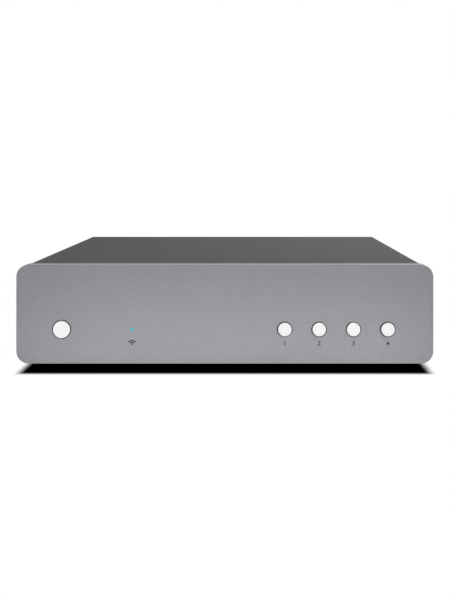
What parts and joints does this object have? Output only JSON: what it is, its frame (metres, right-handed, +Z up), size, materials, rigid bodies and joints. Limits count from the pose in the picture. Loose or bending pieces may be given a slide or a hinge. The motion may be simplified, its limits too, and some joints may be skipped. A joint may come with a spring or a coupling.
{
  "type": "network music streamer",
  "caption": "Slim half-width audio streamer: thick rounded aluminium front with push buttons, folded steel case on rubber feet, rear sockets and folding antennas.",
  "frame": {"origin": "on the surface it stands on, under the middle of its outline", "axes": "+X to the right seen from the front, -Y out of the front panel, +Z up"},
  "size_m": [0.215, 0.203, 0.0555],
  "materials": {
    "panel_aluminium": "bead-blasted and anodised, fine matt grain",
    "cover_paint": "satin dark grey powder coat",
    "rear_paint": "satin near-black powder coat",
    "plated_steel": "bright zinc-plated sheet",
    "foot_rubber": "matt moulded",
    "screw_steel": "black oxide",
    "black_plastic": "moulded",
    "board_green": "solder mask",
    "status_light": "clear and lit from behind",
    "clear_film": "thin polyester",
    "capacitor_sleeve": "shrunk sleeve",
    "ferrite": "sintered, matt",
    "winding_tape": "polyester tape",
    "heatsink_aluminium": "black anodised extrusion",
    "nickel": "nickel plate",
    "socket_plastic": "moulded, lightly sparked",
    "contact_gold": "thin gold plate",
    "white_plastic": "moulded",
    "red_plastic": "moulded",
    "orange_plastic": "moulded",
    "wire_jacket": "extruded insulation",
    "cap_aluminium": "turned, faint spun sheen, clear anodised",
    "antenna_plastic": "satin moulded"
  },
  "bodies": {
    "housing": {"front_panel": "panel_aluminium", "top_cover": "cover_paint", "base_tray": "plated_steel", "rear_panel": "rear_paint", "feet": "foot_rubber", "case_screws": "screw_steel", "button_guide": "black_plastic", "tact_switches": "black_plastic", "key_board": "board_green", "light_pipe": "status_light", "status_led": "status_light", "main_board": "board_green", "psu_board": "board_green", "standoffs": "plated_steel", "board_screws": "screw_steel", "insulation_sheet": "clear_film", "network_module": "board_green", "shield_can": "plated_steel", "chips": "black_plastic", "capacitors": "capacitor_sleeve", "transformer_core": "ferrite", "transformer_winding": "winding_tape", "heatsink": "heatsink_aluminium", "mains_choke": "ferrite", "fuse": "nickel", "mains_inlet": "socket_plastic", "mains_pins": "nickel", "usb_shell": "nickel", "usb_tongue": "black_plastic", "ethernet_shell": "nickel", "ethernet_housing": "socket_plastic", "ethernet_contacts": "contact_gold", "optical_jack": "socket_plastic", "rca_housings": "black_plastic", "rca_barrels": "nickel", "rca_left_ring": "white_plastic", "rca_right_ring": "red_plastic", "coax_ring": "orange_plastic", "antenna_jacks": "contact_gold", "ribbon_cable": "white_plastic", "board_connectors": "white_plastic", "wires": "wire_jacket"},
    "power_key": {"power_button": "cap_aluminium", "power_plunger": "black_plastic"},
    "preset_key_1": {"preset_1_button": "cap_aluminium", "preset_1_plunger": "black_plastic"},
    "preset_key_2": {"preset_2_button": "cap_aluminium", "preset_2_plunger": "black_plastic"},
    "preset_key_3": {"preset_3_button": "cap_aluminium", "preset_3_plunger": "black_plastic"},
    "preset_key_4": {"preset_4_button": "cap_aluminium", "preset_4_plunger": "black_plastic"},
    "optical_flap": {"optical_shutter": "socket_plastic"},
    "left_swivel": {"antenna_base_left": "antenna_plastic", "antenna_pin_left": "screw_steel"},
    "left_antenna": {"antenna_rod_left": "antenna_plastic"},
    "right_swivel": {"antenna_base_right": "antenna_plastic", "antenna_pin_right": "screw_steel"},
    "right_antenna": {"antenna_rod_right": "antenna_plastic"}
  },
  "joints": [
    {"name": "power_press", "type": "slide", "parent": "housing", "child": "power_key", "axis": [0, 1, 0], "range_m": [0, 0.0008], "stiffness_N_per_m": 900, "springref_m": -0.0006},
    {"name": "preset_1_press", "type": "slide", "parent": "housing", "child": "preset_key_1", "axis": [0, 1, 0], "range_m": [0, 0.0008], "stiffness_N_per_m": 900, "springref_m": -0.0006},
    {"name": "preset_2_press", "type": "slide", "parent": "housing", "child": "preset_key_2", "axis": [0, 1, 0], "range_m": [0, 0.0008], "stiffness_N_per_m": 900, "springref_m": -0.0006},
    {"name": "preset_3_press", "type": "slide", "parent": "housing", "child": "preset_key_3", "axis": [0, 1, 0], "range_m": [0, 0.0008], "stiffness_N_per_m": 900, "springref_m": -0.0006},
    {"name": "preset_4_press", "type": "slide", "parent": "housing", "child": "preset_key_4", "axis": [0, 1, 0], "range_m": [0, 0.0008], "stiffness_N_per_m": 900, "springref_m": -0.0006},
    {"name": "optical_flap_swing", "type": "hinge", "parent": "housing", "child": "optical_flap", "pos_m": [0.01818, 0.08117, 0.02315], "axis": [-1, 0, 0], "range_deg": [0, 80], "stiffness_Nm_per_rad": 0.0005, "springref_deg": -28.65},
    {"name": "left_antenna_swivel", "type": "hinge", "parent": "housing", "child": "left_swivel", "pos_m": [-0.08915, 0.08167, 0.041], "axis": [0, -1, 0], "range_deg": [0, 180]},
    {"name": "left_antenna_tilt", "type": "hinge", "parent": "left_swivel", "child": "left_antenna", "pos_m": [-0.08915, 0.09728, 0.041], "axis": [0, 0, 1], "range_deg": [0, 90]},
    {"name": "right_antenna_swivel", "type": "hinge", "parent": "housing", "child": "right_swivel", "pos_m": [0.08915, 0.08167, 0.041], "axis": [0, 1, 0], "range_deg": [0, 180]},
    {"name": "right_antenna_tilt", "type": "hinge", "parent": "right_swivel", "child": "right_antenna", "pos_m": [0.08915, 0.09728, 0.041], "axis": [0, 0, -1], "range_deg": [0, 90]}
  ]
}
